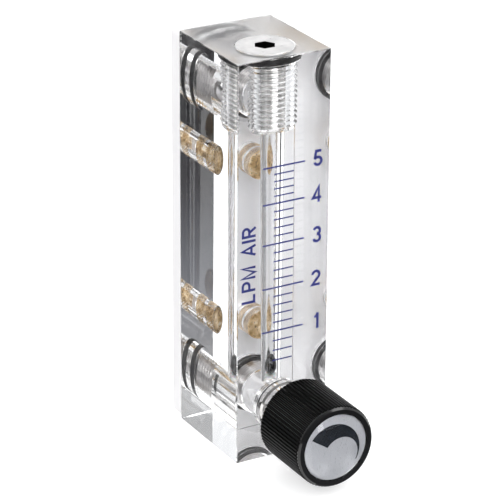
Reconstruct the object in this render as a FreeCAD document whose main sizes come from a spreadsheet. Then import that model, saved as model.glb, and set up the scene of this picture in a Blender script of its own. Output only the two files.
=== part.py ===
import FreeCAD, Part
import Sketcher

import math
import os
import re

# Variable-area gas flow meter: a clear acrylic block with a tapered bore, a ball
# float, two threaded rear ports and a needle valve with a knob on the front.
#
# Frame, in millimetres: the origin is the centre of the block's bottom face, +Z is
# up along the flow tube, +X is to the right and the knob faces -Y.

SIZES = {
    # Acrylic block and the backing plate behind it.
    "block_width": 25.4,
    "block_depth": 28.8,
    "block_height": 104.0,
    "block_bevel": 0.2,
    "plate_thickness": 4.0,
    "plate_gap": 0.1,
    "plate_corner": 2.0,
    "plate_port_hole": 6.2,
    "plate_screw_hole": 2.6,
    # Places of the axes: tube behind the front face, ports from the ends, inserts from
    # the middle of the block.
    "tube_setback": 9.6,
    "port_inset": 12.9,
    "insert_offset": 21.2,
    # Flow tube and float.
    "tube_low_radius": 2.66,
    "tube_high_radius": 3.2,
    "tube_floor": 16.4,
    "float_radius": 2.55,
    "float_gap": 0.02,
    "low_stop_height": 2.65,
    "low_stop_hole": 0.9,
    "high_stop_height": 2.0,
    "high_stop_hole": 1.3,
    "stop_slot_width": 1.0,
    "stop_slot_depth": 0.7,
    # Screw threads, cut as rings: crest and root of the metal parts.
    "thread_pitch": 1.27,
    "thread_crest": 6.3,
    "thread_root": 5.65,
    "thread_play": 0.1,
    "thread_lead": 0.5,
    # Flush head and the seal below it, shared by the top plug and both port bushings.
    "head_radius": 7.2,
    "head_height": 1.0,
    "head_bevel": 0.2,
    "seal_height": 1.75,
    "port_seal_height": 2.4,
    "seal_neck": 5.55,
    "seal_ring_radius": 6.42,
    "seal_cord_radius": 0.85,
    "counterbore_radius": 7.3,
    # Top plug.
    "plug_turns": 13,
    "plug_bore_radius": 2.9,
    "plug_bore_depth": 10.5,
    "plug_cross_hole": 2.2,
    "socket_across": 4.76,
    "socket_depth": 5.0,
    # Port bushings.
    "port_turns": 6,
    "port_radius": 4.35,
    "port_mouth_radius": 5.0,
    "port_mouth_depth": 0.65,
    # Brass mounting inserts.
    "insert_recess": 2.0,
    "insert_length": 8.6,
    "insert_radius": 3.7,
    "insert_groove_radius": 3.1,
    "insert_band": 3.5,
    "insert_hole": 1.75,
    "insert_hole_depth": 7.5,
    "insert_mouth": 2.1,
    "insert_play": 0.08,
    "insert_knurls": 24,
    "insert_knurl_depth": 0.35,
    # Valve cartridge.
    "collar_radius": 6.6,
    "collar_length": 6.8,
    "flange_radius": 7.0,
    "flange_length": 1.2,
    "bonnet_radius": 4.6,
    "bonnet_length": 2.4,
    "cartridge_seal_height": 1.6,
    "cartridge_seal_neck": 5.1,
    "cartridge_seal_radius": 5.9,
    "cartridge_cord_radius": 0.76,
    "cartridge_counterbore": 6.75,
    "cartridge_crest": 6.45,
    "cartridge_root": 5.8,
    "cartridge_turns": 3,
    "sleeve_radius": 5.65,
    "sleeve_window": 2.75,
    "sleeve_seal_back": 2.0,
    "sleeve_seal_front": 0.7,
    "sleeve_seal_neck": 4.55,
    "sleeve_seal_radius": 5.15,
    "sleeve_cord_radius": 0.56,
    "stem_bore_radius": 3.1,
    "stem_bore_stop": 1.1,
    "shaft_bore_radius": 2.1,
    # Valve seat, needle stem and its seal.
    "seat_radius": 2.95,
    "seat_face": -0.2,
    "seat_length": 3.0,
    "seat_orifice": 0.83,
    "seat_mouth": 1.6,
    "seat_mouth_depth": 0.8,
    "needle_tip": 2.4,
    "needle_tip_radius": 0.35,
    "needle_base": -1.6,
    "needle_radius": 1.3,
    "plunger_back": -6.0,
    "plunger_front": -11.3,
    "plunger_radius": 3.0,
    "groove_back": -9.3,
    "groove_front": -10.9,
    "groove_radius": 2.1,
    "stem_ring_radius": 2.6,
    "stem_cord_radius": 0.44,
    "shaft_radius": 2.0,
    "shaft_front": -32.6,
    # Knob, all lengths along the valve axis.
    "knob_gap": 7.6,
    "knob_length": 18.3,
    "knob_radius": 10.6,
    "knob_rear_round": 0.4,
    "knob_rear_radius": 10.2,
    "rim_radius": 10.35,
    "rim_length": 0.9,
    "rim_round": 0.45,
    "face_recess_radius": 8.7,
    "face_recess_depth": 1.2,
    "rear_recess_outer": 8.6,
    "rear_recess_depth": 2.5,
    "rib_count": 72,
    "rib_groove_depth": 0.42,
    "rib_groove_half_width": 0.26,
    "bushing_radius": 3.5,
    "bushing_setback": 1.9,
    "bushing_length": 10.1,
    "bushing_bore": 2.05,
    "set_screw_setback": 6.0,
    "set_screw_radius": 1.45,
    "set_screw_hole": 1.5,
    "set_screw_length": 5.0,
    "set_screw_socket": 1.5,
    # Label disc and the clear dome over it.
    "disc_radius": 8.6,
    "disc_thickness": 0.3,
    "dome_radius": 8.55,
    "dome_edge": 0.5,
    "dome_crown": 1.6,
    "dome_gap": 0.05,
}

# Expressions that several pieces share.
FRONT = "(-block_depth / 2)"
BACK = "(block_depth / 2)"
TUBE_Y = "(tube_setback - block_depth / 2)"
PORT_HEIGHTS = {"inlet": "port_inset", "outlet": "(block_height - port_inset)"}
INSERT_HEIGHTS = {
    "lower": "(block_height / 2 - insert_offset)",
    "upper": "(block_height / 2 + insert_offset)",
}
VALVE_HEIGHT = "port_inset"
PLUG_LENGTH = "(head_height + seal_height + plug_turns * thread_pitch + thread_lead)"
PLUG_END = "(block_height - " + PLUG_LENGTH + ")"
PORT_LENGTH = "(head_height + port_seal_height + port_turns * thread_pitch + thread_lead)"
PORT_END = "(block_depth / 2 - " + PORT_LENGTH + ")"
KNOB_REAR = "(-block_depth / 2 - knob_gap)"
KNOB_FRONT = "(-block_depth / 2 - knob_gap - knob_length)"
RECESS_FLOOR = "(" + KNOB_FRONT + " + face_recess_depth)"

doc = FreeCAD.newDocument("flow_meter")
sheet = doc.addObject("Spreadsheet::Sheet", "Sizes")
pieces = {}


def fill_sheet():
    """Writes every driving dimension to the sheet and names its cell."""
    for row, (name, value) in enumerate(SIZES.items(), start=1):
        sheet.set("A%d" % row, name)
        sheet.set("B%d" % row, str(value))
        sheet.setAlias("B%d" % row, name)
    doc.recompute()


def bound(text):
    """The same expression with every dimension's name pointing at the sheet."""
    def point_at_sheet(match):
        word = match.group(0)
        return "Sizes." + word if word in SIZES else word
    return re.sub(r"[a-z_]+", point_at_sheet, str(text))


def bind(item, prop, text):
    item.setExpression(prop, bound(text))


def new_body(node):
    """A PartDesign body that becomes the node of the same name."""
    body = doc.addObject("PartDesign::Body", node)
    body.Label = node
    pieces[node] = body
    return body


def plane_sketch(body, name, plane, offset):
    """An empty sketch on one of the body's origin planes, moved by an offset in it."""
    sketch = body.newObject("Sketcher::SketchObject", name)
    planes = [item for item in body.Origin.OriginFeatures if item.Role == plane]
    sketch.AttachmentSupport = [(planes[0], "")]
    sketch.MapMode = "FlatFace"
    for letter, text in zip("xyz", offset):
        bind(sketch, "AttachmentOffset.Base." + letter, text)
    return sketch


def draw_outline(sketch, corners):
    """A closed polygon whose every corner is dimensioned from the sketch's origin."""
    count = len(corners)
    guess = []
    for index in range(count):
        angle = 2 * math.pi * index / count
        guess.append(FreeCAD.Vector(10 + 5 * math.cos(angle), 10 + 5 * math.sin(angle), 0))
    lines = [Part.LineSegment(guess[i], guess[(i + 1) % count]) for i in range(count)]
    sketch.addGeometry(lines, False)
    rules = []
    for index in range(count):
        following = (index + 1) % count
        rules.append(Sketcher.Constraint("Coincident", index, 2, following, 1))
    for index in range(count):
        rules.append(Sketcher.Constraint("DistanceX", -1, 1, index, 1, guess[index].x))
        rules.append(Sketcher.Constraint("DistanceY", -1, 1, index, 1, guess[index].y))
    sketch.addConstraint(rules)
    for index, (across, up) in enumerate(corners):
        bind(sketch, "Constraints[%d]" % (count + 2 * index), across)
        bind(sketch, "Constraints[%d]" % (count + 2 * index + 1), up)


def draw_circle(sketch, radius, across="0", up="0"):
    """A dimensioned circle."""
    circle = Part.Circle(FreeCAD.Vector(1, 1, 0), FreeCAD.Vector(0, 0, 1), 2)
    index = sketch.addGeometry(circle, False)
    first = sketch.ConstraintCount
    sketch.addConstraint(Sketcher.Constraint("Radius", index, 2))
    sketch.addConstraint(Sketcher.Constraint("DistanceX", -1, 1, index, 3, 1))
    sketch.addConstraint(Sketcher.Constraint("DistanceY", -1, 1, index, 3, 1))
    bind(sketch, "Constraints[%d]" % first, radius)
    bind(sketch, "Constraints[%d]" % (first + 1), across)
    bind(sketch, "Constraints[%d]" % (first + 2), up)


def turned(body, kind, name, axis, offset, corners):
    """A Revolution or a Groove: the outline turned once about the sketch's own axis.

    The sketch lies in the YZ plane. About V_Axis a corner is (radius, height); about
    H_Axis it is (place along Y, radius)."""
    sketch = plane_sketch(body, name + "_outline", "YZ_Plane", offset)
    draw_outline(sketch, corners)
    feature = body.newObject("PartDesign::" + kind, name)
    feature.Profile = sketch
    feature.ReferenceAxis = (sketch, [axis])
    feature.Angle = 360
    return feature


def pocket(body, name, sketch, length, backwards=False):
    """Cuts a sketch through a length; backwards follows the sketch's own normal."""
    feature = body.newObject("PartDesign::Pocket", name)
    feature.Profile = sketch
    feature.Reversed = backwards
    bind(feature, "Length", length)
    return feature


def polar(body, name, feature, axis_sketch, count):
    """Repeats a feature around the normal of a sketch."""
    pattern = body.newObject("PartDesign::PolarPattern", name)
    pattern.Originals = [feature]
    pattern.Axis = (axis_sketch, ["N_Axis"])
    pattern.Angle = 360
    bind(pattern, "Occurrences", count)
    body.Tip = pattern
    return pattern


def thread_rings(start, step, turns, crest, root):
    """Corners of a row of thread rings as (place, radius), walking by step each turn."""
    corners = []
    for ring in range(turns):
        base = "(%s + (%s) * %s" % (start, step, ring)
        corners.append((base + ")", root))
        corners.append((base + " + (%s) / 2)" % step, crest))
    corners.append(("(%s + (%s) * %s)" % (start, step, turns), root))
    return corners


def sealed_screw(top, step, turns, crest, root, neck, head, seal="seal_height"):
    """Outer corners of a flush-headed screw from its head's outer face inwards.

    step is the signed thread pitch, so a negative one walks down the axis."""
    sign = "-1" if step.startswith("-") else "1"
    place = "(%s + %s * (%%s))" % (top, sign)
    under_seal = place % ("head_height + " + seal)
    corners = [(top, head + " - head_bevel"), (place % "head_bevel", head)]
    corners += [(place % "head_height", head), (place % "head_height", neck), (under_seal, neck)]
    corners += thread_rings(under_seal, step, turns, crest, root)
    corners.append(("(%s + %s * thread_lead)" % (corners[-1][0], sign), root + " - thread_lead"))
    return corners


def edges_along_y(shape):
    """Names of the edges that run front to back."""
    names = []
    for number, edge in enumerate(shape.Edges, start=1):
        box = edge.BoundBox
        if box.YLength > 10 * max(box.XLength, box.ZLength):
            names.append("Edge%d" % number)
    return names


def upright(corners):
    """Swaps (place, radius) corners to (radius, place) for a vertical axis."""
    return [(radius, place) for place, radius in corners]


def acrylic_body():
    """The clear block with its tapered tube, ports, insert holes and valve cavity."""
    body = new_body("acrylic_body")
    outline = plane_sketch(body, "block_outline", "XY_Plane", ("0", "0", "0"))
    half_width, half_depth = "block_width / 2", "block_depth / 2"
    draw_outline(outline, [
        ("-" + half_width, "-" + half_depth),
        (half_width, "-" + half_depth),
        (half_width, half_depth),
        ("-" + half_width, half_depth),
    ])
    pad = body.newObject("PartDesign::Pad", "block")
    pad.Profile = outline
    bind(pad, "Length", "block_height")
    doc.recompute()
    bevel = body.newObject("PartDesign::Chamfer", "block_edges")
    bevel.Base = (pad, ["Edge%d" % number for number in range(1, len(pad.Shape.Edges) + 1)])
    bind(bevel, "Size", "block_bevel")

    play_crest, play_root = "thread_crest + thread_play", "thread_root + thread_play"
    seat_top = "(block_height - head_height - seal_height)"
    tube = [("0", "block_height"), ("counterbore_radius", "block_height")]
    tube += [("counterbore_radius", seat_top)]
    tube += upright(thread_rings(seat_top, "-thread_pitch", SIZES["plug_turns"],
                                 play_crest, play_root))
    tube += [
        (play_root, PLUG_END + " - thread_play"),
        ("tube_high_radius", PLUG_END + " - thread_play"),
        ("tube_low_radius", "tube_floor + low_stop_height"),
        ("tube_low_radius", VALVE_HEIGHT),
        ("0", VALVE_HEIGHT),
    ]
    turned(body, "Groove", "tube", "V_Axis", (TUBE_Y, "0", "0"), tube)

    for side, height in PORT_HEIGHTS.items():
        seat = "(block_depth / 2 - head_height - port_seal_height)"
        port = [(BACK, "0"), (BACK, "counterbore_radius"), (seat, "counterbore_radius")]
        port += thread_rings(seat, "-thread_pitch", SIZES["port_turns"], play_crest, play_root)
        drill_end = TUBE_Y + " + plug_bore_radius" if side == "outlet" else "seat_face"
        port += [(drill_end, play_root), (drill_end, "0")]
        turned(body, "Groove", side + "_port", "H_Axis", ("0", height, "0"), port)

    for side, height in INSERT_HEIGHTS.items():
        hole_end = "(block_depth / 2 - insert_recess - insert_length - insert_play)"
        radius = "insert_radius + insert_play"
        hole = [(BACK, "0"), (BACK, radius), (hole_end, radius), (hole_end, "0")]
        turned(body, "Groove", side + "_insert_hole", "H_Axis", ("0", height, "0"), hole)

    seal_end = "(-block_depth / 2 + cartridge_seal_height)"
    crest, root = "cartridge_crest + thread_play", "cartridge_root + thread_play"
    valve = [(FRONT, "0"), (FRONT, "cartridge_counterbore"), (seal_end, "cartridge_counterbore")]
    valve += thread_rings(seal_end, "thread_pitch", SIZES["cartridge_turns"], crest, root)
    cavity = "(%s + cartridge_turns * thread_pitch + thread_play)" % seal_end
    valve += [
        (cavity, root),
        (cavity, play_root),
        ("seat_face + seat_length", play_root),
        ("seat_face + seat_length", "0"),
    ]
    turned(body, "Groove", "valve_cavity", "H_Axis", ("0", VALVE_HEIGHT, "0"), valve)


def back_plate():
    """The light backing plate, open round both ports and both mounting screws."""
    body = new_body("back_plate")
    outline = plane_sketch(body, "plate_outline", "XZ_Plane",
                           ("0", "0", "-block_depth / 2 - plate_gap - plate_thickness"))
    half_width = "block_width / 2"
    draw_outline(outline, [
        ("-" + half_width, "0"),
        (half_width, "0"),
        (half_width, "block_height"),
        ("-" + half_width, "block_height"),
    ])
    pad = body.newObject("PartDesign::Pad", "plate")
    pad.Profile = outline
    bind(pad, "Length", "plate_thickness")
    doc.recompute()
    rounding = body.newObject("PartDesign::Fillet", "plate_corners")
    rounding.Base = (pad, edges_along_y(pad.Shape))
    bind(rounding, "Radius", "plate_corner")
    holes = [(side, height, "plate_port_hole") for side, height in PORT_HEIGHTS.items()]
    holes += [(side, height, "plate_screw_hole") for side, height in INSERT_HEIGHTS.items()]
    plate_back = "(block_depth / 2 + plate_gap + plate_thickness)"
    for side, height, radius in holes:
        ring = [(BACK, "0"), (BACK, radius), (plate_back, radius), (plate_back, "0")]
        turned(body, "Groove", side + "_opening", "H_Axis", ("0", height, "0"), ring)


def top_plug():
    """Hollow threaded plug: hex socket above, flow bore below, side hole to the outlet."""
    body = new_body("top_plug")
    outer = sealed_screw("block_height", "-thread_pitch", SIZES["plug_turns"],
                         "thread_crest", "thread_root", "seal_neck", "head_radius")
    corners = [("0", "block_height")] + upright(outer)
    corners += [
        ("plug_bore_radius", PLUG_END),
        ("plug_bore_radius", PLUG_END + " + plug_bore_depth"),
        ("0", PLUG_END + " + plug_bore_depth + plug_bore_radius / 2"),
    ]
    turned(body, "Revolution", "plug", "V_Axis", (TUBE_Y, "0", "0"), corners)
    socket = plane_sketch(body, "socket_outline", "XY_Plane", ("0", TUBE_Y, "block_height"))
    hexagon = []
    for corner in range(6):
        reach = "socket_across / sqrt(3) * "
        angle = "(%d deg)" % (60 * corner)
        hexagon.append((reach + "cos" + angle, reach + "sin" + angle))
    draw_outline(socket, hexagon)
    pocket(body, "hex_socket", socket, "socket_depth")
    hole = plane_sketch(body, "cross_outline", "XZ_Plane",
                        ("0", PORT_HEIGHTS["outlet"], "-" + TUBE_Y))
    draw_circle(hole, "plug_cross_hole")
    pocket(body, "cross_hole", hole, "head_radius")


def port_bushing(side):
    """Metal bushing with a female pipe thread and a flush head on the rear face."""
    body = new_body(side + "_port_bushing")
    outer = sealed_screw(BACK, "-thread_pitch", SIZES["port_turns"], "thread_crest",
                         "thread_root", "seal_neck", "head_radius", "port_seal_height")
    corners = [(BACK, "port_mouth_radius")] + outer
    corners += [(PORT_END, "port_radius"), (BACK + " - port_mouth_depth", "port_radius")]
    turned(body, "Revolution", side + "_bushing", "H_Axis", ("0", PORT_HEIGHTS[side], "0"),
           corners)


def mounting_insert(side):
    """Brass insert with two knurled bands and a blind threaded hole."""
    body = new_body(side + "_mounting_insert")
    mouth = "(block_depth / 2 - insert_recess)"
    end = "(%s - insert_length)" % mouth
    hole_end = "(%s - insert_hole_depth)" % mouth
    widening = "(insert_mouth - insert_hole)"
    turned(body, "Revolution", side + "_insert", "H_Axis", ("0", INSERT_HEIGHTS[side], "0"), [
        (end, "0"),
        (end, "insert_radius"),
        (end + " + insert_band", "insert_radius"),
        (end + " + insert_band", "insert_groove_radius"),
        (mouth + " - insert_band", "insert_groove_radius"),
        (mouth + " - insert_band", "insert_radius"),
        (mouth, "insert_radius"),
        (mouth, "insert_mouth"),
        (mouth + " - " + widening, "insert_hole"),
        (hole_end, "insert_hole"),
        (hole_end + " - insert_hole / 2", "0"),
    ])
    notch = plane_sketch(body, side + "_knurl_outline", "XZ_Plane",
                         ("0", INSERT_HEIGHTS[side], "-" + end))
    rim = "insert_radius + insert_knurl_depth"
    draw_outline(notch, [
        ("-2 * insert_knurl_depth", rim),
        ("0", "insert_radius - insert_knurl_depth"),
        ("2 * insert_knurl_depth", rim),
    ])
    cut = pocket(body, side + "_knurl", notch, "insert_length", backwards=True)
    polar(body, side + "_knurls", cut, notch, "insert_knurls")


def float_stop(node, floor, radius, hole, height):
    """A slotted ring that stops the ball and lets gas past it."""
    body = new_body(node)
    turned(body, "Revolution", node + "_ring", "V_Axis", (TUBE_Y, "0", "0"), [
        (hole, floor),
        (radius, floor),
        (radius, "%s + %s" % (floor, height)),
        (hole, "%s + %s" % (floor, height)),
    ])
    slot = plane_sketch(body, node + "_slot_outline", "XY_Plane", ("0", TUBE_Y, floor))
    draw_outline(slot, [
        ("-stop_slot_width / 2", "%s - stop_slot_depth" % radius),
        ("stop_slot_width / 2", "%s - stop_slot_depth" % radius),
        ("stop_slot_width / 2", "%s + stop_slot_depth" % radius),
        ("-stop_slot_width / 2", "%s + stop_slot_depth" % radius),
    ])
    cut = pocket(body, node + "_slot", slot, height, backwards=True)
    polar(body, node + "_slots", cut, slot, "4")


def seal_ring(node, ring, cord, across_valve, along, height):
    """An O-ring as a torus, its axis vertical or along the valve."""
    torus = doc.addObject("Part::Torus", node)
    torus.Label = node
    pieces[node] = torus
    bind(torus, "Radius1", ring)
    bind(torus, "Radius2", cord)
    if across_valve:
        torus.Placement.Rotation = FreeCAD.Rotation(FreeCAD.Vector(1, 0, 0), 90)
    bind(torus, "Placement.Base.y", along)
    bind(torus, "Placement.Base.z", height)


def float_ball():
    """The ball float at rest on the lower stop."""
    ball = doc.addObject("Part::Sphere", "float_ball")
    ball.Label = "float_ball"
    pieces["float_ball"] = ball
    bind(ball, "Radius", "float_radius")
    bind(ball, "Placement.Base.y", TUBE_Y)
    bind(ball, "Placement.Base.z", "tube_floor + low_stop_height + float_gap + float_radius")


def valve_cartridge():
    """Threaded cartridge: a bright collar, the stem's guide and a sleeve for the seat.

    Gas leaves the sleeve for the flow tube by the window round the lower float stop."""
    body = new_body("valve_cartridge")
    bonnet_end = "(-block_depth / 2 - collar_length - bonnet_length)"
    seal_end = "(-block_depth / 2 + cartridge_seal_height)"
    corners = [
        (bonnet_end, "shaft_bore_radius"),
        (bonnet_end, "bonnet_radius"),
        (FRONT + " - collar_length", "bonnet_radius"),
        (FRONT + " - collar_length", "collar_radius"),
        (FRONT + " - flange_length", "collar_radius"),
        (FRONT + " - flange_length", "flange_radius"),
        (FRONT, "flange_radius"),
        (FRONT, "cartridge_seal_neck"),
        (seal_end, "cartridge_seal_neck"),
    ]
    corners += thread_rings(seal_end, "thread_pitch", SIZES["cartridge_turns"],
                            "cartridge_crest", "cartridge_root")
    thread_end = corners[-1][0]
    sleeve_end = "(seat_face + seat_length)"
    corners += [
        (thread_end, "sleeve_radius"),
        ("sleeve_seal_front", "sleeve_radius"),
        ("sleeve_seal_front", "sleeve_seal_neck"),
        ("sleeve_seal_back", "sleeve_seal_neck"),
        ("sleeve_seal_back", "sleeve_radius"),
        (sleeve_end, "sleeve_radius"),
        (sleeve_end, "seat_radius + float_gap"),
        ("seat_face", "seat_radius + float_gap"),
        ("seat_face", "stem_bore_radius"),
        (FRONT + " - stem_bore_stop", "stem_bore_radius"),
        (FRONT + " - stem_bore_stop", "shaft_bore_radius"),
    ]
    turned(body, "Revolution", "cartridge", "H_Axis", ("0", VALVE_HEIGHT, "0"), corners)
    window = plane_sketch(body, "window_outline", "XY_Plane", ("0", TUBE_Y, VALVE_HEIGHT))
    draw_circle(window, "sleeve_window")
    pocket(body, "window", window, "collar_radius", backwards=True)


def valve_seat():
    """The small seat ring that the needle closes."""
    body = new_body("valve_seat")
    turned(body, "Revolution", "seat", "H_Axis", ("0", VALVE_HEIGHT, "0"), [
        ("seat_face", "seat_mouth"),
        ("seat_face", "seat_radius"),
        ("seat_face + seat_length", "seat_radius"),
        ("seat_face + seat_length", "seat_orifice"),
        ("seat_face + seat_mouth_depth", "seat_orifice"),
    ])


def valve_stem():
    """Needle, threaded plunger with a seal groove, and the shaft into the knob."""
    body = new_body("valve_stem")
    turned(body, "Revolution", "stem", "H_Axis", ("0", VALVE_HEIGHT, "0"), [
        ("needle_tip", "0"),
        ("needle_tip", "needle_tip_radius"),
        ("needle_base", "needle_radius"),
        ("plunger_back", "needle_radius"),
        ("plunger_back", "plunger_radius"),
        ("groove_back", "plunger_radius"),
        ("groove_back", "groove_radius"),
        ("groove_front", "groove_radius"),
        ("groove_front", "plunger_radius"),
        ("plunger_front", "plunger_radius"),
        ("plunger_front", "shaft_radius"),
        ("shaft_front", "shaft_radius"),
        ("shaft_front", "0"),
    ])


def radial_hole(body, name):
    """The set screw's hole, cut straight down from the knob's axis."""
    sketch = plane_sketch(body, name + "_outline", "XY_Plane",
                          ("0", KNOB_REAR + " - set_screw_setback", VALVE_HEIGHT))
    draw_circle(sketch, "set_screw_hole")
    pocket(body, name, sketch, "2 * knob_radius")


def knob():
    """Ribbed knob with a smooth rim, a face recess and a bore for its bushing."""
    body = new_body("knob")
    rim_start = "(%s + rim_length)" % KNOB_FRONT
    bushing_rear = "(%s - bushing_setback)" % KNOB_REAR
    turned(body, "Revolution", "knob_shell", "H_Axis", ("0", VALVE_HEIGHT, "0"), [
        (KNOB_REAR + " - rear_recess_depth", "bushing_radius"),
        (KNOB_REAR + " - rear_recess_depth", "rear_recess_outer"),
        (KNOB_REAR, "rear_recess_outer"),
        (KNOB_REAR, "knob_rear_radius"),
        (KNOB_REAR + " - knob_rear_round", "knob_radius"),
        (rim_start, "knob_radius"),
        (rim_start, "rim_radius"),
        (KNOB_FRONT + " + rim_round", "rim_radius"),
        (KNOB_FRONT, "rim_radius - rim_round"),
        (KNOB_FRONT, "face_recess_radius"),
        (RECESS_FLOOR, "face_recess_radius"),
        (RECESS_FLOOR, "0"),
        (bushing_rear + " - bushing_length", "0"),
        (bushing_rear + " - bushing_length", "bushing_radius"),
    ])
    groove = plane_sketch(body, "rib_groove_outline", "XZ_Plane",
                          ("0", VALVE_HEIGHT, "-" + KNOB_REAR))
    floor, rim = "knob_radius - rib_groove_depth", "knob_radius + rib_groove_depth"
    draw_outline(groove, [
        ("-rib_groove_half_width / 2", floor),
        ("rib_groove_half_width / 2", floor),
        ("2 * rib_groove_half_width", rim),
        ("-2 * rib_groove_half_width", rim),
    ])
    cut = pocket(body, "rib_groove", groove, "knob_length - rim_length", backwards=True)
    polar(body, "rib_grooves", cut, groove, "rib_count")
    radial_hole(body, "knob_screw_hole")


def knob_bushing():
    """Brass bushing moulded into the knob, clamped on the stem by the set screw."""
    body = new_body("knob_bushing")
    rear = "(%s - bushing_setback)" % KNOB_REAR
    turned(body, "Revolution", "bushing", "H_Axis", ("0", VALVE_HEIGHT, "0"), [
        (rear, "bushing_bore"),
        (rear, "bushing_radius"),
        (rear + " - bushing_length", "bushing_radius"),
        (rear + " - bushing_length", "bushing_bore"),
    ])
    radial_hole(body, "bushing_screw_hole")


def knob_set_screw():
    """Headless set screw, from the stem outwards, with a hex socket in its outer end."""
    shank = doc.addObject("Part::Cylinder", "set_screw_shank")
    bind(shank, "Radius", "set_screw_radius")
    bind(shank, "Height", "set_screw_length")
    socket = doc.addObject("Part::Prism", "set_screw_socket_form")
    socket.Polygon = 6
    bind(socket, "Circumradius", "set_screw_socket / sqrt(3)")
    bind(socket, "Height", "set_screw_length / 2")
    screw = doc.addObject("Part::Cut", "knob_set_screw")
    screw.Base = shank
    screw.Tool = socket
    screw.Label = "knob_set_screw"
    pieces["knob_set_screw"] = screw
    bind(screw, "Placement.Base.y", KNOB_REAR + " - set_screw_setback")
    bind(screw, "Placement.Base.z", VALVE_HEIGHT + " - bushing_bore - set_screw_length")


def knob_disc():
    """Flat label disc on the floor of the knob's face recess."""
    body = new_body("knob_disc")
    turned(body, "Revolution", "disc", "H_Axis", ("0", VALVE_HEIGHT, "0"), [
        (RECESS_FLOOR, "0"),
        (RECESS_FLOOR, "disc_radius"),
        (RECESS_FLOOR + " - disc_thickness", "disc_radius"),
        (RECESS_FLOOR + " - disc_thickness", "0"),
    ])


def knob_dome():
    """Clear dome over the label: a short cylinder under a spherical cap."""
    cap_radius = "((dome_radius ^ 2 + dome_crown ^ 2) / (2 * dome_crown))"
    edge = doc.addObject("Part::Cylinder", "dome_edge_form")
    bind(edge, "Radius", "dome_radius")
    bind(edge, "Height", "dome_edge + dome_crown")
    cap = doc.addObject("Part::Sphere", "dome_cap_form")
    bind(cap, "Radius", cap_radius)
    bind(cap, "Placement.Base.z", "dome_edge + dome_crown - " + cap_radius)
    dome = doc.addObject("Part::Common", "knob_dome")
    dome.Base = edge
    dome.Tool = cap
    dome.Label = "knob_dome"
    pieces["knob_dome"] = dome
    dome.Placement.Rotation = FreeCAD.Rotation(FreeCAD.Vector(1, 0, 0), 90)
    bind(dome, "Placement.Base.y", RECESS_FLOOR + " - disc_thickness - dome_gap")
    bind(dome, "Placement.Base.z", VALVE_HEIGHT)


def check_model():
    """Stops if any object failed to build or any piece has no valid shape."""
    for item in doc.Objects:
        if "Invalid" in item.State or "Error" in item.State:
            raise RuntimeError("%s did not build: %s" % (item.Name, item.State))
    for node, piece in pieces.items():
        shape = piece.Shape
        if shape.isNull() or not shape.isValid() or not shape.Solids:
            raise RuntimeError("%s has no valid solid" % node)


def write_pieces():
    """Writes one STEP file for each piece."""
    os.makedirs("parts", exist_ok=True)
    for node, piece in pieces.items():
        piece.Shape.exportStep("parts/%s.step" % node)
        box = piece.Shape.BoundBox
        size = (box.XLength, box.YLength, box.ZLength)
        print("%-24s %9.2f mm3  %7.2f %7.2f %7.2f" % ((node, piece.Shape.Volume) + size))


fill_sheet()
acrylic_body()
back_plate()
top_plug()
float_stop("upper_float_stop", PLUG_END, "(plug_bore_radius - float_gap)", "high_stop_hole",
           "high_stop_height")
float_stop("lower_float_stop", "tube_floor", "(tube_low_radius - float_gap)", "low_stop_hole",
           "low_stop_height")
float_ball()
for port_side in PORT_HEIGHTS:
    port_bushing(port_side)
    seal_ring(port_side + "_port_o_ring", "seal_ring_radius", "seal_cord_radius", True,
              "block_depth / 2 - head_height - port_seal_height / 2", PORT_HEIGHTS[port_side])
seal_ring("top_plug_o_ring", "seal_ring_radius", "seal_cord_radius", False, TUBE_Y,
          "block_height - head_height - seal_height / 2")
for insert_side in INSERT_HEIGHTS:
    mounting_insert(insert_side)
valve_cartridge()
seal_ring("valve_cartridge_o_ring", "cartridge_seal_radius", "cartridge_cord_radius", True,
          "cartridge_seal_height / 2 - block_depth / 2", VALVE_HEIGHT)
seal_ring("valve_sleeve_o_ring", "sleeve_seal_radius", "sleeve_cord_radius", True,
          "(sleeve_seal_back + sleeve_seal_front) / 2", VALVE_HEIGHT)
valve_seat()
valve_stem()
seal_ring("stem_o_ring", "stem_ring_radius", "stem_cord_radius", True,
          "(groove_back + groove_front) / 2", VALVE_HEIGHT)
knob()
knob_bushing()
knob_set_screw()
knob_disc()
knob_dome()
doc.recompute()
check_model()
write_pieces()
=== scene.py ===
"""Clear acrylic gas flow meter with a needle valve: looks, light and camera.

Lengths are in metres in the CAD frame: the block stands on z = 0, +X is to the right,
and the front face with the printed scale and the knob looks towards -Y.
"""
import math

import bmesh
import bpy
from mathutils import Matrix, Vector


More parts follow.
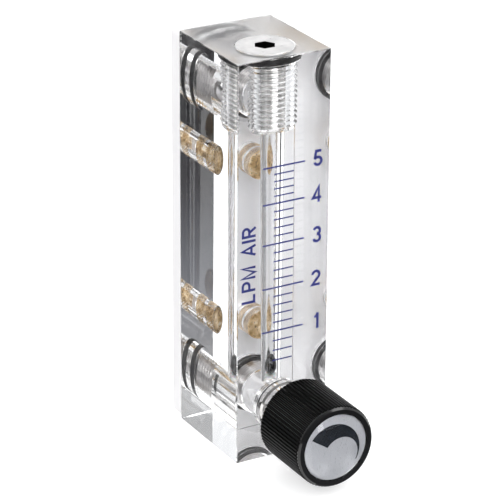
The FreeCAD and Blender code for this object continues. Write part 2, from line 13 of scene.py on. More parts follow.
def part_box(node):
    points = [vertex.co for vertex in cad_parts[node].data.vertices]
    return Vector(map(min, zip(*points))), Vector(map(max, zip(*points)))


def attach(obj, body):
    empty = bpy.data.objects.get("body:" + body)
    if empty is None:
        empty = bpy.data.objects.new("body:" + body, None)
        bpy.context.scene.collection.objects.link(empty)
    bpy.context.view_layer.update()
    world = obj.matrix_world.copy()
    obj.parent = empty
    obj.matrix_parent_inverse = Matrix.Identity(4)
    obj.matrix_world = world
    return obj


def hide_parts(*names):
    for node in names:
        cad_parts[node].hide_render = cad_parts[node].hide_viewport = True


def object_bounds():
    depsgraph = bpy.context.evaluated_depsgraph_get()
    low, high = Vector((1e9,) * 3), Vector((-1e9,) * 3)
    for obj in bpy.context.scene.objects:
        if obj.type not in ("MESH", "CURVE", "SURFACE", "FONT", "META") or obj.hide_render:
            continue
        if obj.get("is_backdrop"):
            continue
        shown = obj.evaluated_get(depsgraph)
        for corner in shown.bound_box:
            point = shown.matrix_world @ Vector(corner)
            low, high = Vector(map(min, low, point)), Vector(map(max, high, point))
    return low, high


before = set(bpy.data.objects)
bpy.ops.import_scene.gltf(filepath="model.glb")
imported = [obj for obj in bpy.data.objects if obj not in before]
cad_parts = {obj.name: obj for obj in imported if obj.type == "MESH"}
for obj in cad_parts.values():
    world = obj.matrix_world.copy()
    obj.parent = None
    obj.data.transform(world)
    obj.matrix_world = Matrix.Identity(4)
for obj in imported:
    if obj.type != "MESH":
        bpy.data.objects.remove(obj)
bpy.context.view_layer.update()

MM = 0.001
BLOCK_LOW, BLOCK_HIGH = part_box("acrylic_body")
FRONT_Y = BLOCK_LOW.y
KNOB_LOW, KNOB_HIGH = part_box("knob")
KNOB_Z = (KNOB_LOW.z + KNOB_HIGH.z) / 2
DISC_FACE_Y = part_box("knob_disc")[0].y
TUBE_Y = (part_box("top_plug")[0].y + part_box("top_plug")[1].y) / 2
SOCKET_REACH = 2.76 * MM

# Places of a Mix node's colour sockets, which share their names with other types.
MIX_COLOUR_A, MIX_COLOUR_B, MIX_COLOUR_OUT = 6, 7, 2


# ---------------------------------------------------------------- node helpers

class Shader:
    """One material: a Principled shader plus the textures that drive it."""

    def __init__(self, name, colour, roughness, **sockets):
        self.material = bpy.data.materials.new(name)
        self.material.use_nodes = True
        self.tree = self.material.node_tree
        self.principled = self.tree.nodes["Principled BSDF"]
        self.principled.inputs["Base Color"].default_value = (*colour, 1)
        self.principled.inputs["Roughness"].default_value = roughness
        for socket, value in sockets.items():
            self.principled.inputs[socket.replace("_", " ")].default_value = value
        self.coordinates = self.node("ShaderNodeTexCoord").outputs["Object"]

    def node(self, kind, **settings):
        made = self.tree.nodes.new(kind)
        for name, value in settings.items():
            setattr(made, name, value)
        return made

    def link(self, output, socket):
        self.tree.links.new(output, socket)

    def stretched(self, factors):
        """Object coordinates scaled per axis, for streaks and turned lines."""
        mapping = self.node("ShaderNodeMapping")
        mapping.inputs["Scale"].default_value = factors
        self.link(self.coordinates, mapping.inputs["Vector"])
        return mapping.outputs["Vector"]

    def noise(self, scale, detail=3.0, rough=0.55, vector=None, distortion=0.0):
        made = self.node("ShaderNodeTexNoise")
        made.inputs["Scale"].default_value = scale
        made.inputs["Detail"].default_value = detail
        made.inputs["Roughness"].default_value = rough
        made.inputs["Distortion"].default_value = distortion
        self.link(vector or self.coordinates, made.inputs["Vector"])
        return made.outputs["Fac"]

    def ranged(self, value, low, high, start=0.3, end=0.7):
        """Maps a texture value from start..end to low..high."""
        made = self.node("ShaderNodeMapRange")
        made.inputs["From Min"].default_value = start
        made.inputs["From Max"].default_value = end
        made.inputs["To Min"].default_value = low
        made.inputs["To Max"].default_value = high
        self.link(value, made.inputs["Value"])
        return made.outputs["Result"]

    def math(self, operation, first, second=None):
        made = self.node("ShaderNodeMath", operation=operation)
        for socket, value in zip(made.inputs, (first, second)):
            if value is None:
                continue
            if isinstance(value, (int, float)):
                socket.default_value = value
            else:
                self.link(value, socket)
        return made.outputs["Value"]

    def colour_between(self, value, stops):
        """A colour ramp over a texture value; stops are (place, colour)."""
        ramp = self.node("ShaderNodeValToRGB")
        elements = ramp.color_ramp.elements
        while len(elements) < len(stops):
            elements.new(0.5)
        for element, (place, colour) in zip(elements, stops):
            element.position = place
            element.color = (*colour, 1)
        self.link(value, ramp.inputs["Fac"])
        self.link(ramp.outputs["Color"], self.principled.inputs["Base Color"])

    def roughen(self, value, low, high):
        self.link(self.ranged(value, low, high), self.principled.inputs["Roughness"])

    def bump(self, height, depth, strength=1.0):
        """Adds a bump of the given depth in metres."""
        made = self.node("ShaderNodeBump")
        made.inputs["Distance"].default_value = depth
        made.inputs["Strength"].default_value = strength
        self.link(height, made.inputs["Height"])
        self.link(made.outputs["Normal"], self.principled.inputs["Normal"])

    def position(self):
        split = self.node("ShaderNodeSeparateXYZ")
        self.link(self.coordinates, split.inputs["Vector"])
        return split.outputs

    def band(self, value, low, high, soft):
        """1 where value lies between low and high, fading over a soft margin."""
        above = self.ranged(value, 0.0, 1.0, low - soft, low)
        below = self.ranged(value, 1.0, 0.0, high, high + soft)
        return self.math("MULTIPLY", above, below)


# ------------------------------------------------------------------- materials

def clear_acrylic():
    """Polished cast acrylic: glassy outside, finely tooled inside the drilled holes."""
    shader = Shader("clear_cast_acrylic", (0.985, 0.99, 0.995), 0.0,
                    Transmission_Weight=1.0, IOR=1.49)
    place = shader.position()
    margin = 0.5 * MM
    inside = shader.band(place["X"], BLOCK_LOW.x + margin, BLOCK_HIGH.x - margin, 0.1 * MM)
    for axis in "YZ":
        low, high = getattr(BLOCK_LOW, axis.lower()), getattr(BLOCK_HIGH, axis.lower())
        inside = shader.math("MULTIPLY", inside, shader.band(
            place[axis], low + margin, high - margin, 0.1 * MM))
    haze = shader.ranged(shader.noise(220, 4.0), 0.0, 0.02)
    tooling = shader.noise(900, 3.0, vector=shader.stretched((1.0, 6.0, 1.0)))
    tooled = shader.ranged(tooling, 0.0, 0.09)
    rough = shader.math("ADD", haze, shader.math("MULTIPLY", inside, tooled))
    sawn = BLOCK_HIGH.z - 0.08 * MM
    milled = shader.ranged(place["Z"], 0.0, 1.0, sawn, sawn + 0.04 * MM)
    frost = shader.ranged(shader.noise(1300, 4.0), 0.30, 0.42)
    rough = shader.math("MAXIMUM", rough, shader.math("MULTIPLY", milled, frost))
    shader.link(rough, shader.principled.inputs["Roughness"])
    shader.bump(shader.math("MULTIPLY", tooling, inside), 0.012 * MM, 0.6)
    return shader.material


def nickel(name, colour, low, high, along, socket=False):
    """Plated metal with fine turned lines, and if asked a hex socket whose inside is painted dark as
    shade.
    """
    shader = Shader(name, colour, low, Metallic=1.0)
    factors = {"Y": (0.6, 14.0, 0.6), "Z": (0.6, 0.6, 14.0)}[along]
    lines = shader.noise(800, 3.0, vector=shader.stretched(factors))
    cloud = shader.noise(260, 4.0)
    shader.roughen(shader.math("ADD", shader.math("MULTIPLY", lines, 0.5),
                               shader.math("MULTIPLY", cloud, 0.5)), low, high)
    shade = tuple(0.82 * part for part in colour)
    shader.colour_between(cloud, [(0.35, shade), (0.65, colour)])
    shader.bump(lines, 0.01 * MM, 0.5)
    if socket:
        place = shader.position()
        across = shader.math("POWER", place["X"], 2.0)
        deep = shader.math("POWER", shader.math("SUBTRACT", place["Y"], TUBE_Y), 2.0)
        off_axis = shader.math("SQRT", shader.math("ADD", across, deep))
        near = shader.ranged(off_axis, 1.0, 0.0, SOCKET_REACH, SOCKET_REACH + 0.04 * MM)
        mouth, floor = BLOCK_HIGH.z - 0.12 * MM, BLOCK_HIGH.z - 6.0 * MM
        below = shader.ranged(place["Z"], 1.0, 0.0, mouth, mouth + 0.07 * MM)
        above = shader.ranged(place["Z"], 0.0, 1.0, floor, floor + 0.5 * MM)
        # Painted shade: inside the hex socket the base colour blends to near black, standing in for the
        # shade in the recess.
        painted_socket_shade = shader.math("MULTIPLY", shader.math("MULTIPLY", near, below), above)
        blend = shader.node("ShaderNodeMix", data_type="RGBA")
        metal = shader.principled.inputs["Base Color"].links[0].from_socket
        shader.link(painted_socket_shade, blend.inputs["Factor"])
        shader.link(metal, blend.inputs[MIX_COLOUR_A])
        blend.inputs[MIX_COLOUR_B].default_value = (0.09, 0.085, 0.08, 1)
        shader.link(blend.outputs[MIX_COLOUR_OUT], shader.principled.inputs["Base Color"])
    return shader.material


def knurled_brass():
    """Brass inserts, darker and lighter at random; the near-white stops of the colour are painted glints
    for the knurl's glitter.
    """
    shader = Shader("knurled_brass", (0.62, 0.45, 0.24), 0.3, Metallic=0.85)
    grain = shader.noise(1500, 4.0, 0.7)
    patches = shader.noise(520, 3.0, 0.6, distortion=0.6)
    # Painted highlight: the lightest stop is a painted glint standing in for the sparkle of the knurl;
    # the other stops vary the brass tone at random.
    shader.colour_between(patches, [
        (0.32, (0.27, 0.16, 0.07)), (0.45, (0.52, 0.35, 0.17)),
        (0.58, (0.76, 0.57, 0.34)), (0.7, (0.93, 0.84, 0.70)),
    ])
    shader.roughen(grain, 0.18, 0.5)
    shader.bump(grain, 0.05 * MM, 0.9)
    return shader.material


def plain_brass():
    shader = Shader("turned_brass", (0.72, 0.53, 0.26), 0.25, Metallic=1.0)
    shader.roughen(shader.noise(900, 3.0, vector=shader.stretched((1, 9, 1))), 0.16, 0.36)
    return shader.material


def rubber():
    shader = Shader("nitrile_rubber", (0.012, 0.011, 0.012), 0.45)
    speckle = shader.noise(2600, 3.0)
    shader.roughen(speckle, 0.34, 0.6)
    shader.bump(speckle, 0.01 * MM, 0.6)
    return shader.material


def white_plate():
    """Satin white sheet plastic of the backing plate."""
    shader = Shader("white_sheet", (0.82, 0.815, 0.82), 0.5)
    mottle = shader.noise(90, 4.0)
    shader.colour_between(mottle, [(0.3, (0.80, 0.79, 0.795)), (0.7, (0.84, 0.83, 0.835))])
    fine = shader.noise(3000, 2.0)
    shader.roughen(fine, 0.42, 0.62)
    shader.bump(fine, 0.008 * MM, 0.5)
    return shader.material


def acetal():
    shader = Shader("white_acetal", (0.83, 0.83, 0.81), 0.42,
                    Subsurface_Weight=0.15, Subsurface_Scale=1.0 * MM)
    fine = shader.noise(1800, 3.0)
    shader.roughen(fine, 0.34, 0.52)
    shader.bump(fine, 0.008 * MM, 0.4)
    return shader.material


def black_glass():
    shader = Shader("black_glass", (0.006, 0.005, 0.006), 0.05, Coat_Weight=0.6)
    shader.roughen(shader.noise(1400, 3.0), 0.03, 0.09)
    return shader.material


def knob_plastic():
    """Moulded black plastic: a dull fine grain, and a polished rim round the label."""
    shader = Shader("moulded_black_plastic", (0.002, 0.0017, 0.0018), 0.38)
    place = shader.position()
    rim = shader.ranged(place["Y"], 1.0, 0.0, KNOB_LOW.y + 0.8 * MM, KNOB_LOW.y + 1.0 * MM)
    shader.link(shader.ranged(rim, 0.12, 0.6, 0.0, 1.0),
                shader.principled.inputs["Specular IOR Level"])
    grain = shader.noise(4200, 3.0, 0.6)
    wear = shader.noise(420, 4.0)
    dull = shader.ranged(shader.math("ADD", shader.math("MULTIPLY", grain, 0.6),
                                     shader.math("MULTIPLY", wear, 0.4)), 0.26, 0.5)
    shader.link(shader.math("MULTIPLY", dull, shader.ranged(rim, 1.0, 0.35, 0.0, 1.0)),
                shader.principled.inputs["Roughness"])
    shader.colour_between(wear, [
        (0.35, (0.0014, 0.0012, 0.0012)), (0.7, (0.003, 0.0026, 0.0027)),
    ])
    shader.bump(grain, 0.006 * MM, 0.5)
    return shader.material


def silver_label():
    """Satin silver foil with a faint brushed grain."""
    shader = Shader("satin_silver_foil", (0.72, 0.73, 0.76), 0.34, Metallic=0.45)
    brushed = shader.noise(1300, 3.0, vector=shader.stretched((7.0, 1.0, 0.5)))
    shader.roughen(brushed, 0.26, 0.42)
    shader.bump(brushed, 0.003 * MM, 0.4)
    return shader.material


def dome_resin():
    shader = Shader("clear_doming_resin", (1.0, 1.0, 1.0), 0.0,
                    Transmission_Weight=1.0, IOR=1.49)
    shader.roughen(shader.noise(500, 3.0), 0.0, 0.012)
    return shader.material


def ink(name, colour, shine=0.5):
    """Screen-printed ink, slightly uneven in density."""
    shader = Shader(name, colour, 0.45, Specular_IOR_Level=shine)
    cloud = shader.noise(1100, 4.0)
    light = tuple(min(1.0, 1.3 * part + 0.004) for part in colour)
    shader.colour_between(cloud, [(0.38, colour), (0.72, light)])
    shader.roughen(cloud, 0.38, 0.55)
    shader.bump(shader.noise(5200, 2.0), 0.003 * MM, 0.5)
    return shader.material


BRIGHT = (0.86, 0.845, 0.83)
metal_z = nickel("nickel_plate_upright", BRIGHT, 0.24, 0.42, "Z", socket=True)
# Painted shade: the lying port bushings use a darker copy of the same nickel plate, standing in for the
# light they don't catch.
nickel_painted_darker = nickel("nickel_plate_lying_painted_shade", (0.50, 0.48, 0.475), 0.26, 0.42, "Y")
collar_metal = nickel("bright_collar", (0.90, 0.89, 0.88), 0.05, 0.14, "Y")
steel = nickel("turned_steel", (0.66, 0.65, 0.64), 0.16, 0.32, "Y")
rubber_black = rubber()
knurl = knurled_brass()
white_parts = acetal()

NODE_MATERIALS = {
    "acrylic_body": clear_acrylic(),
    "back_plate": white_plate(),
    "top_plug": metal_z,
    "top_plug_o_ring": rubber_black,
    "upper_float_stop": white_parts,
    "lower_float_stop": white_parts,
    "float_ball": black_glass(),
    "inlet_port_bushing": nickel_painted_darker,
    "inlet_port_o_ring": rubber_black,
    "outlet_port_bushing": nickel_painted_darker,
    "outlet_port_o_ring": rubber_black,
    "lower_mounting_insert": knurl,
    "upper_mounting_insert": knurl,
    "valve_cartridge": collar_metal,
    "valve_cartridge_o_ring": rubber_black,
    "valve_sleeve_o_ring": rubber_black,
    "valve_seat": white_parts,
    "valve_stem": steel,
    "stem_o_ring": rubber_black,
    "knob": knob_plastic(),
    "knob_bushing": plain_brass(),
    "knob_set_screw": steel,
    "knob_disc": silver_label(),
    "knob_dome": dome_resin(),
}
for node, material in NODE_MATERIALS.items():
    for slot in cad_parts[node].material_slots:
        slot.material = material


# ------------------------------------------------- seals and inserts under load

def lathe(name, profile, centre, axis, steps, radius_at=None):
    """A closed ring of the (radius, place) profile turned about Y or Z.

    radius_at(radius, place, angle) may press a pattern into the surface."""
    solid = bmesh.new()
    rings = []
    for step in range(steps):
        angle = 2 * math.pi * step / steps
        ring = []
        for radius, place in profile:
            reach = radius_at(radius, place, angle) if radius_at else radius
            across, up = reach * math.cos(angle), reach * math.sin(angle)
            offset = Vector((across, place, up) if axis == "Y" else (across, up, place))
            ring.append(solid.verts.new(centre + offset))
        rings.append(ring)
    count = len(profile)
    for step in range(steps):
        here, following = rings[step], rings[(step + 1) % steps]
        for index in range(count):
            after = (index + 1) % count
            solid.faces.new((here[index], here[after], following[after], following[index]))
    bmesh.ops.recalc_face_normals(solid, faces=solid.faces)
    mesh = bpy.data.meshes.new(name)
    solid.to_mesh(mesh)
    solid.free()
    for polygon in mesh.polygons:
        polygon.use_smooth = True
    return mesh


SEAL_CORNERS, SEAL_STEPS = 28, 96
KNURLS, KNURL_LEAN, KNURL_STEPS = 26, 2.6, 208
TINY_RADIUS = 0.02 * MM


def squeezed_ring(node, axis, inner, outer, half_height):
    """An O-ring pressed flat between its groove and the bore, so the rubber wets both."""
    low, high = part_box(node)
    centre = (low + high) / 2
    middle, half_width = (inner + outer) / 2, (outer - inner) / 2
    profile = []
    for corner in range(SEAL_CORNERS):
        angle = 2 * math.pi * corner / SEAL_CORNERS
        across, along = math.cos(angle), math.sin(angle)
        profile.append((middle + half_width * math.copysign(abs(across) ** 0.3, across),
                        half_height * math.copysign(abs(along) ** 0.4, along)))
    mesh = lathe(node + "_squeezed", profile, centre, axis, SEAL_STEPS)
    piece = finished(node + "_squeezed", mesh, rubber_black, "meter_body")
    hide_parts(node)


def knurled_insert(node):
    """A brass insert whose crossed knurl bites into the acrylic round it."""
    low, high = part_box(node)
    centre = Vector(((low.x + high.x) / 2, low.y, (low.z + high.z) / 2))
    length, radius = high.y - low.y, (high.x - low.x) / 2
    band, groove, hole, depth = 3.5 * MM, 3.1 * MM, 1.75 * MM, 7.5 * MM
    end = -0.1 * MM
    rows = 32
    chamfered = radius - 0.25 * MM
    profile = [(TINY_RADIUS, end), (chamfered, end)]
    profile += [(radius, end + 0.05 * MM + (band - end) * row / rows) for row in range(rows)]
    profile += [(groove, band), (groove, length - band)]
    profile += [(radius, length - band + band * row / rows) for row in range(rows + 1)]
    profile += [(chamfered, length), (hole, length), (hole, length - depth),
                (TINY_RADIUS, length - depth - hole / 2)]

    def pressed(reach, place, angle):
        if reach < radius - 0.01 * MM:
            return reach
        turn = KNURLS * angle / 2
        lean = KNURL_LEAN * place / MM
        crest = max(abs(math.sin(turn + lean)), abs(math.sin(turn - lean)))
        return radius + (0.17 * crest - 0.05) * MM

    mesh = lathe(node + "_knurled", profile, centre, "Y", KNURL_STEPS, pressed)
    piece = finished(node + "_knurled", mesh, knurl, "meter_body")
    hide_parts(node)


def finished(name, mesh, material, body):
    """Puts a mesh in the scene as a piece that rides on a body."""
    mesh.materials.clear()
    mesh.materials.append(material)
    piece = bpy.data.objects.new(name, mesh)
    bpy.context.scene.collection.objects.link(piece)
    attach(piece, body)
    return piece


squeezed_ring("top_plug_o_ring", "Z", 5.6 * MM, 7.36 * MM, 0.85 * MM)
for port in ("inlet", "outlet"):
    squeezed_ring(port + "_port_o_ring", "Y", 5.6 * MM, 7.38 * MM, 1.18 * MM)
squeezed_ring("valve_cartridge_o_ring", "Y", 5.15 * MM, 6.80 * MM, 0.76 * MM)
for level in ("lower", "upper"):
    knurled_insert(level + "_mounting_insert")


# --------------------------------------------------------------- printed marks

INK_THICKNESS = 0.02 * MM
scale_ink = ink("blue_scale_ink", (0.022, 0.027, 0.15), 0.3)
mark_ink = ink("dark_mark_ink", (0.006, 0.009, 0.014), 0.0)

# Width of a character's strokes and the gap between two, as shares of its height.
STROKE = 0.17
LETTER_GAP = 0.22


def arc(across, up, radius, start, end, steps=14):
    """Points along an arc, from one angle to another in degrees."""
    angles = [math.radians(start + (end - start) * step / steps) for step in range(steps + 1)]
    return [(across + radius * math.cos(a), up + radius * math.sin(a)) for a in angles]


def bowl(width, low):
    """The round of a P or an R, from the stem's top and back to it."""
    high, half = 1 - STROKE / 2, (1 - STROKE / 2 - low) / 2
    return [(0.1, high), *arc(width - half, high - half, half, 90, -90), (0.1, low)]


# Middle lines of plain sans-serif characters that are one unit tall.
SLIM = STROKE / 2
GLYPHS = {
    "L": [[(SLIM, 1), (SLIM, SLIM), (0.58, SLIM)]],
    "P": [[(SLIM, 0), (SLIM, 1)], bowl(0.62, 0.44)],
    "M": [[(SLIM, 0), (SLIM, 0.97), (0.42, 0.03), (0.84 - SLIM, 0.97), (0.84 - SLIM, 0)]],
    "A": [[(0.03, 0), (0.35, 0.96), (0.67, 0)], [(0.14, 0.3), (0.56, 0.3)]],
    "I": [[(SLIM, 0), (SLIM, 1)]],
    "R": [[(SLIM, 0), (SLIM, 1)], bowl(0.62, 0.46), [(0.34, 0.46), (0.64, 0)]],
    "1": [[(0.12, 0.74), (0.24, 0.78), (0.31, 0.86), (0.35, 1)], [(0.35, 0), (0.35, 1)]],
    "2": [[*arc(0.31, 0.70, 0.225, 175, -38), (0.09, SLIM), (0.58, SLIM)]],
    "3": [arc(0.30, 0.72, 0.205, 160, -88), arc(0.30, 0.295, 0.22, 88, -165)],
    "4": [[(0.43, 0), (0.43, 0.96), (0.05, 0.29), (0.60, 0.29)]],
    "5": [[(0.53, 1 - SLIM), (0.18, 1 - SLIM), (0.11, 0.50),
           *arc(0.30, 0.305, 0.235, 132, -160)]],
}


SHARPEST_MITRE = 0.45


def ribbon(flat, points, thickness, level):
    """A strip of even width along a polyline, with mitred corners."""
    points = [Vector(point) for point in points]
    left, right = [], []
    for index, point in enumerate(points):
        ways = []
        if index:
            ways.append((point - points[index - 1]).normalized())
        if index < len(points) - 1:
            ways.append((points[index + 1] - point).normalized())
        along = sum(ways, Vector((0, 0))).normalized()
        side = Vector((-along.y, along.x))
        stretch = 1 / max(SHARPEST_MITRE, along.dot(ways[0]))
        offset = side * thickness / 2 * stretch
        left.append(flat.verts.new((*(point + offset), level)))
        right.append(flat.verts.new((*(point - offset), level)))
    faces = []
    for index in range(len(points) - 1):
        faces.append(flat.faces.new(
            (right[index], right[index + 1], left[index + 1], left[index])))
    return faces


def raised(flat, faces, name):
    """Gives flat faces the thickness of the ink and returns the mesh."""
    risen = bmesh.ops.extrude_face_region(flat, geom=faces)
    tops = [item for item in risen["geom"] if isinstance(item, bmesh.types.BMVert)]
    bmesh.ops.translate(flat, verts=tops, vec=(0, 0, INK_THICKNESS))
    bmesh.ops.recalc_face_normals(flat, faces=flat.faces)
    mesh = bpy.data.meshes.new(name)
    flat.to_mesh(mesh)
    flat.free()
    return mesh


def text_mesh(words, width, height):
    """A word as a thin solid in its own XY plane, centred on its origin."""
    flat, faces, reach = bmesh.new(), [], 0.0
    for letter in words:
        edge = 0.0
        for order, stroke in enumerate(GLYPHS[letter]):
            edge = max(edge, max(point[0] for point in stroke))
            placed = [(point[0] + reach, point[1]) for point in stroke]
            faces += ribbon(flat, placed, STROKE, 0.001 * order * MM)
        reach += edge + LETTER_GAP
    reach -= LETTER_GAP
    grow_x = width / reach if width else height
    for vertex in flat.verts:
        vertex.co.x = (vertex.co.x - reach / 2) * grow_x
        vertex.co.y = (vertex.co.y - 0.5) * height
        vertex.co.z -= INK_THICKNESS / 2
    return raised(flat, faces, "lettering")


def onto_front(across, up, turn=0.0):
    """From a flat sheet in XY to the block's front face, just proud of it."""
    place = Vector((across, FRONT_Y - INK_THICKNESS / 2 - 0.005 * MM, up))
    return (Matrix.Translation(place) @ Matrix.Rotation(math.pi / 2, 4, "X")
            @ Matrix.Rotation(turn, 4, "Z"))


def joined(name, meshes, material, body):
    """One piece made of several meshes already in place."""
    whole = bmesh.new()
    for mesh in meshes:
        whole.from_mesh(mesh)
        bpy.data.meshes.remove(mesh)
    bmesh.ops.remove_doubles(whole, verts=whole.verts, dist=1e-7)
    result = bpy.data.meshes.new(name)
    whole.to_mesh(result)
    whole.free()
    return finished(name, result, material, body)


# Heights of the numbered lines, from 1 to 5 litres a minute. The scale tightens as
# the tapered bore opens.
MAJOR_HEIGHTS = [33.8 * MM, 45.3 * MM, 56.8 * MM, 67.3 * MM, 76.7 * MM]
BELOW_ONE = [31.2 * MM, 28.6 * MM, 25.9 * MM]
MAJOR_HALF, MINOR_HALF = 5.8 * MM, 2.8 * MM
LINE = 0.42 * MM
THIN_LINE = 0.85 * LINE


def tick_mesh(up, half, thickness):
    """One printed line with rounded ends."""
    flat = bmesh.new()
    corners = []
    turns = 5
    for side in (1, -1):
        for step in range(turns + 1):
            angle = side * math.pi / 2 - math.pi * step / turns
            corners.append(flat.verts.new((
                side * (half - thickness / 2) + thickness / 2 * math.cos(angle),
                thickness / 2 * math.sin(angle), -INK_THICKNESS / 2)))
    mesh = raised(flat, [flat.faces.new(corners)], "tick")
    mesh.transform(onto_front(0, up))
    return mesh


ticks = [tick_mesh(up, MAJOR_HALF, LINE) for up in MAJOR_HEIGHTS]
ticks += [tick_mesh(up, MINOR_HALF, THIN_LINE) for up in BELOW_ONE]
for low, high in zip(MAJOR_HEIGHTS, MAJOR_HEIGHTS[1:]):
    for share in (0.2, 0.4, 0.6, 0.8):
        ticks.append(tick_mesh(low + share * (high - low), MINOR_HALF, THIN_LINE))
joined("scale_lines", ticks, scale_ink, "meter_body")

DIGIT_HEIGHT = 4.2 * MM
digits = []
for number, up in enumerate(MAJOR_HEIGHTS, start=1):
    digit = text_mesh(str(number), None, DIGIT_HEIGHT)
    digit.transform(onto_front(9.2 * MM, up + 0.2 * MM))
    digits.append(digit)
joined("scale_numbers", digits, scale_ink, "meter_body")

LEGEND_HEIGHT = 3.8 * MM
legend = []
for word, low, high in (("LPM", 42.6 * MM, 52.0 * MM), ("AIR", 55.1 * MM, 62.3 * MM)):
    letters = text_mesh(word, high - low, LEGEND_HEIGHT)
    letters.transform(onto_front(-9.6 * MM, (low + high) / 2, math.pi / 2))
    legend.append(letters)
joined("scale_unit", legend, scale_ink, "meter_body")


def crescent_mesh():
    """The tapering turn mark on the label: the gap between two arcs."""
    outer_middle, outer_radius = Vector((-0.5, -1.2)) * MM, 7.15 * MM
    inner_middle, inner_radius = Vector((1.5, -2.3)) * MM, 4.6 * MM
    start, end, steps = math.radians(143.5), math.radians(-27.0), 64
    flat = bmesh.new()
    outer, inner = [], []
    for step in range(steps + 1):
        angle = start + (end - start) * step / steps
        ray = Vector((math.cos(angle), math.sin(angle)))
        for ring, middle, radius in ((outer, outer_middle, outer_radius),
                                     (inner, inner_middle, inner_radius)):
            point = middle + ray * radius
            ring.append(flat.verts.new((point.x, point.y, 0)))
    faces = []
    for step in range(steps):
        faces.append(flat.faces.new(
            (outer[step], inner[step], inner[step + 1], outer[step + 1])))
    mesh = raised(flat, faces, "turn_mark")
    place = Vector((0, DISC_FACE_Y - 0.01 * MM, KNOB_Z))
    mesh.transform(Matrix.Translation(place) @ Matrix.Rotation(math.pi / 2, 4, "X"))
    return mesh


finished("turn_mark", crescent_mesh(), mark_ink, "knob_and_stem")


# ------------------------------------------------------- floor, light and camera

def plane_piece(name, corners, material):
    """A flat stage sheet through the given corners."""
    mesh = bpy.data.meshes.new(name)
    mesh.from_pydata([tuple(corner) for corner in corners], [], [tuple(range(len(corners)))])
    mesh.materials.append(material)
    sheet = bpy.data.objects.new(name, mesh)
    bpy.context.scene.collection.objects.link(sheet)
    sheet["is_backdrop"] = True
    return sheet


floor_shader = Shader("pale_floor", (0.6, 0.6, 0.6), 0.8, Specular_IOR_Level=0.1,
                      Emission_Color=(1, 1, 1, 1), Emission_Strength=0.62)
floor_z = BLOCK_LOW.z - 0.2 * MM
FLOOR_REACH = 4.0
floor_signs = ((-1, -1), (1, -1), (1, 1), (-1, 1))
plane_piece("floor", [(a * FLOOR_REACH, b * FLOOR_REACH, floor_z) for a, b in floor_signs],
            floor_shader.material)


def glow_by_distance(name, stops):
    """An unlit material whose colour follows the distance from the origin in metres."""
    material = bpy.data.materials.new(name)
    material.use_nodes = True
    tree = material.node_tree
    tree.nodes.clear()
    output = tree.nodes.new("ShaderNodeOutputMaterial")
    glow = tree.nodes.new("ShaderNodeEmission")
    ramp = tree.nodes.new("ShaderNodeValToRGB")
    low, high = stops[0][0], stops[-1][0]
    ranged = tree.nodes.new("ShaderNodeMapRange")
    ranged.inputs["From Min"].default_value = low
    ranged.inputs["From Max"].default_value = high
    measure = tree.nodes.new("ShaderNodeVectorMath")
    measure.operation = "LENGTH"
    place = tree.nodes.new("ShaderNodeTexCoord")
    tree.links.new(place.outputs["Object"], measure.inputs[0])
    tree.links.new(measure.outputs["Value"], ranged.inputs["Value"])
    tree.links.new(ranged.outputs["Result"], ramp.inputs["Fac"])
    tree.links.new(ramp.outputs["Color"], glow.inputs["Color"])
    tree.links.new(glow.outputs["Emission"], output.inputs["Surface"])
    elements = ramp.color_ramp.elements
    while len(elements) < len(stops):
        elements.new(0.5)
    for element, (distance, colour) in zip(elements, stops):
        element.position = (distance - low) / (high - low)
        element.color = (*colour, 1)
    return material


def flag(name, corners, material):
    """A dark card of painted shade that only shows in reflections and through the acrylic."""
    card = plane_piece(name, corners, material)
    card.visible_camera = False
    card.visible_diffuse = False
    card.visible_shadow = False
    return card


def sector(near, far, start, end, level):
    """Corners of a ring sector on the floor, from one bearing to another in degrees."""
    steps = 12
    bearings = [math.radians(start + (end - start) * step / steps) for step in range(steps + 1)]
    rim = [(far * math.cos(a), far * math.sin(a), level) for a in bearings]
    return rim + [(near * math.cos(a), near * math.sin(a), level) for a in reversed(bearings)]


FLAG_EDGE = 1.2
# Painted shade: an unlit card that darkens with distance, standing in for the floor falling off into a
# dark room, seen only in reflections and through the acrylic.
flag("floor_flag", sector(0.030, FLAG_EDGE, -97, -22, floor_z + 1.0 * MM),
     glow_by_distance("painted_floor_falloff_shade", [
         (0.030, (0.36, 0.36, 0.37)), (0.062, (0.22, 0.225, 0.25)), (0.100, (0.11, 0.115, 0.13)),
         (0.150, (0.02, 0.018, 0.022)), (0.200, (0.01, 0.01, 0.012)), (FLAG_EDGE, (0.005, 0.005, 0.007)),
     ]))


def plain_glow(name, level):
    """An unlit grey of painted shade for a flag."""
    return glow_by_distance(name, [
        (0.0, (level, level, 1.03 * level)), (FLAG_EDGE, (level, level, 1.03 * level))])


# Painted shade: unlit grey cards standing in for the dark room at the left, seen only in reflections and
# through the acrylic.
flag("left_flag", sector(0.035, FLAG_EDGE, 75, 215, floor_z + 1.0 * MM),
     plain_glow("painted_left_shade", 0.33))
mirrored = flag("left_mirror_flag", sector(0.06, FLAG_EDGE, 85, 155, floor_z + 2.0 * MM),
                plain_glow("painted_left_mirror_shade", 0.10))
mirrored.visible_transmission = False


def softbox(name, place, target, width, height, brightness):
    """A rectangular area light aimed at a point; brightness is its radiance."""
    data = bpy.data.lights.new(name, "AREA")
    data.shape = "RECTANGLE"
    data.size, data.size_y = width, height
    data.energy = brightness * math.pi * width * height
    lamp = bpy.data.objects.new(name, data)
    lamp.location = place
    aim = Vector(target) - Vector(place)
    lamp.rotation_mode = "QUATERNION"
    lamp.rotation_quaternion = aim.to_track_quat("-Z", "Y")
    bpy.context.scene.collection.objects.link(lamp)
    return lamp


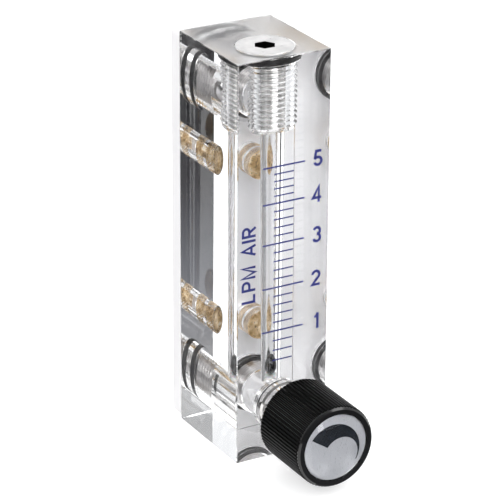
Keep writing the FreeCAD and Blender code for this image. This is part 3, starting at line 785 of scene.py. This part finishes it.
MIDDLE = (0.0, 0.0, 0.05)
softbox("key_softbox", (-0.9, -0.5, 1.1), MIDDLE, 0.6, 0.6, 4.0)
softbox("top_softbox", (0.1, 0.5, 1.4), MIDDLE, 0.9, 0.9, 2.5)
softbox("fill_softbox", (0.55, -0.44, 0.93), MIDDLE, 0.5, 0.5, 3.0)
front = softbox("front_fill", (-0.25, -1.15, 0.85), MIDDLE, 1.0, 0.8, 3.5)
front.visible_glossy = False
softbox("low_softbox", (0.095, -0.85, 0.10), (0.0, -0.04, 0.013), 0.10, 0.26, 6.0)

# The sky is bright behind the block and dim in front of it.
SKY_BRIGHT_SIDE = (0.45, 0.80, 0.40)
SKY_BLEND, SKY_DIM = 0.6, 0.22

scene = bpy.context.scene
world = bpy.data.worlds.new("studio")
scene.world = world
world.use_nodes = True
sky = world.node_tree
background = sky.nodes["Background"]
facing = sky.nodes.new("ShaderNodeTexCoord")
toward_back = sky.nodes.new("ShaderNodeVectorMath")
toward_back.operation = "DOT_PRODUCT"
toward_back.inputs[1].default_value = SKY_BRIGHT_SIDE
blend = sky.nodes.new("ShaderNodeMapRange")
blend.interpolation_type = "SMOOTHSTEP"
blend.inputs["From Min"].default_value = -SKY_BLEND
blend.inputs["From Max"].default_value = SKY_BLEND
blend.inputs["To Min"].default_value = SKY_DIM
blend.inputs["To Max"].default_value = 1.0
sky.links.new(facing.outputs["Generated"], toward_back.inputs[0])
sky.links.new(toward_back.outputs["Value"], blend.inputs["Value"])
sky.links.new(blend.outputs["Result"], background.inputs["Strength"])
background.inputs["Color"].default_value = (0.97, 0.98, 1.0, 1)

SENSOR = 36.0
FOCAL_LENGTH = 201.6
AZIMUTH, ELEVATION, ROLL = math.radians(29.75), math.radians(23.09), math.radians(0.32)
CAMERA_PLACE = Vector((-0.31503, -0.54945, 0.31939))
ahead = Vector((math.sin(AZIMUTH) * math.cos(ELEVATION),
                math.cos(AZIMUTH) * math.cos(ELEVATION), -math.sin(ELEVATION)))
right = Vector((math.cos(AZIMUTH), -math.sin(AZIMUTH), 0))
up = right.cross(ahead)
turned_right = math.cos(ROLL) * right + math.sin(ROLL) * up
turned_up = -math.sin(ROLL) * right + math.cos(ROLL) * up
camera_data = bpy.data.cameras.new("camera")
camera_data.sensor_width = SENSOR
camera_data.lens = FOCAL_LENGTH
camera_data.clip_start, camera_data.clip_end = 0.05, 20.0
camera = bpy.data.objects.new("camera", camera_data)
axes = Matrix((turned_right, turned_up, -ahead)).transposed()
camera.matrix_world = Matrix.Translation(CAMERA_PLACE) @ axes.to_4x4()
scene.collection.objects.link(camera)
scene.camera = camera

scene.view_settings.view_transform = "Standard"
scene.view_settings.look = "None"
GLASS_BOUNCES = 32
cycles = scene.cycles
cycles.max_bounces = GLASS_BOUNCES
cycles.transmission_bounces = GLASS_BOUNCES
cycles.glossy_bounces = 16
cycles.diffuse_bounces = 4
cycles.blur_glossy = 0.0
cycles.transparent_max_bounces = 16

low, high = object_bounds()
